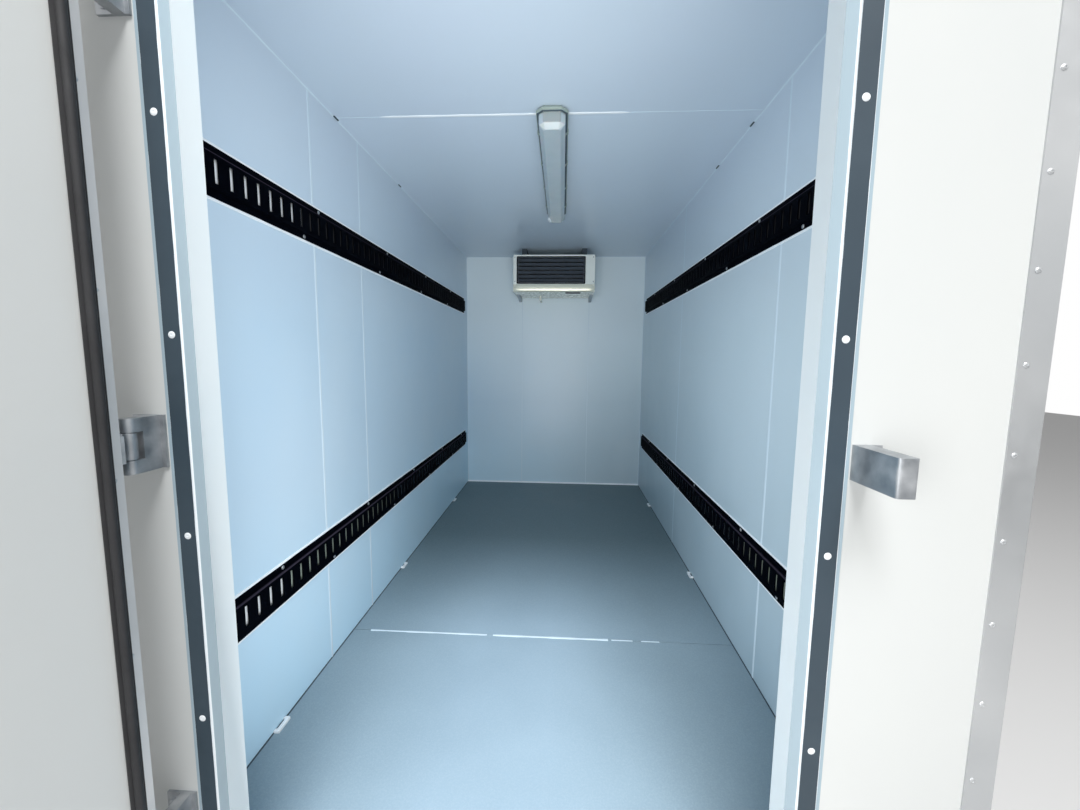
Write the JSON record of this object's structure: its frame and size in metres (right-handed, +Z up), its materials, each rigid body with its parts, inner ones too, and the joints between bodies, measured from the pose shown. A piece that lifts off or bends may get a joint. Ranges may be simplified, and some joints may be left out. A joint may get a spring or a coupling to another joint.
{
  "type": "refrigerated trailer box body",
  "caption": "Insulated load box with one rear door, punched lashing rails on both side walls, a ceiling lamp, an evaporator and an outside condensing unit.",
  "frame": {"origin": "centre of the chassis bolt pattern, on the underside of the two runners, under the middle of the load space", "axes": "+Z up, +Y forward from the door to the bulkhead, +X to the right seen from the door"},
  "size_m": [2.0057, 4.8573, 2.375],
  "materials": {
    "panel_white": "satin",
    "floor_grey": "matt, non-slip",
    "rail_black": "satin",
    "frame_white": "satin",
    "strip_grey": "matt",
    "seal_dark": "matt",
    "alloy": "satin",
    "zinc_steel": "galvanised",
    "clip_white": "satin",
    "lamp_grey": "satin",
    "lamp_opal": "opal",
    "casing_white": "satin",
    "outlet_black": "satin",
    "fin_alloy": "satin",
    "tray_cream": "gloss",
    "latch_chrome": "polished",
    "release_dark": "satin"
  },
  "bodies": {
    "box": {"bulkhead_left": "panel_white", "bulkhead_middle": "panel_white", "bulkhead_right": "panel_white", "corner_caps": "alloy", "corner_posts": "alloy", "cross_bearers": "zinc_steel", "door_sill": "alloy", "evap_brackets": "zinc_steel", "evap_casing": "casing_white", "evap_coil": "fin_alloy", "evap_drain": "tray_cream", "evap_hangers": "strip_grey", "evap_outlet": "outlet_black", "evap_tray": "tray_cream", "fan_guard": "outlet_black", "fan_motor": "outlet_black", "floor_board_front": "floor_grey", "floor_board_rear": "floor_grey", "floor_clips": "clip_white", "floor_core": "panel_white", "floor_edge_profiles": "alloy", "frame_head": "frame_white", "frame_jamb_left": "frame_white", "frame_jamb_right": "frame_white", "hinge_brackets": "zinc_steel", "lamp_base": "lamp_grey", "lamp_cover": "lamp_opal", "latch_keeper": "zinc_steel", "rail_left_lower": "rail_black", "rail_left_upper": "rail_black", "rail_right_lower": "rail_black", "rail_right_upper": "rail_black", "rear_header": "panel_white", "rear_wall_left": "panel_white", "rear_wall_right": "panel_white", "roof_edge_profiles": "alloy", "roof_front": "panel_white", "roof_rear": "panel_white", "runner_left": "zinc_steel", "runner_right": "zinc_steel", "seal_strips": "strip_grey", "unit_brackets": "zinc_steel", "unit_coil": "fin_alloy", "unit_compressor": "outlet_black", "unit_housing": "casing_white", "wall_left_front": "panel_white", "wall_left_middle": "panel_white", "wall_left_rear": "panel_white", "wall_right_front": "panel_white", "wall_right_middle": "panel_white", "wall_right_rear": "panel_white"},
    "door": {"door_panel": "panel_white", "door_edge": "alloy", "door_seal": "seal_dark", "hinge_straps": "zinc_steel", "door_latch": "latch_chrome", "inside_release": "release_dark"},
    "fan": {"fan_rotor": "outlet_black"}
  },
  "joints": [
    {"name": "door_hinge", "type": "hinge", "parent": "box", "child": "door", "pos_m": [-0.65, -1.7, 1.2], "axis": [0, 0, -1], "range_deg": [-110, 70]},
    {"name": "fan_spin", "type": "hinge", "parent": "box", "child": "fan", "pos_m": [-0.17, 1.9195, 1.978], "axis": [0, 1, 0], "continuous": true}
  ]
}
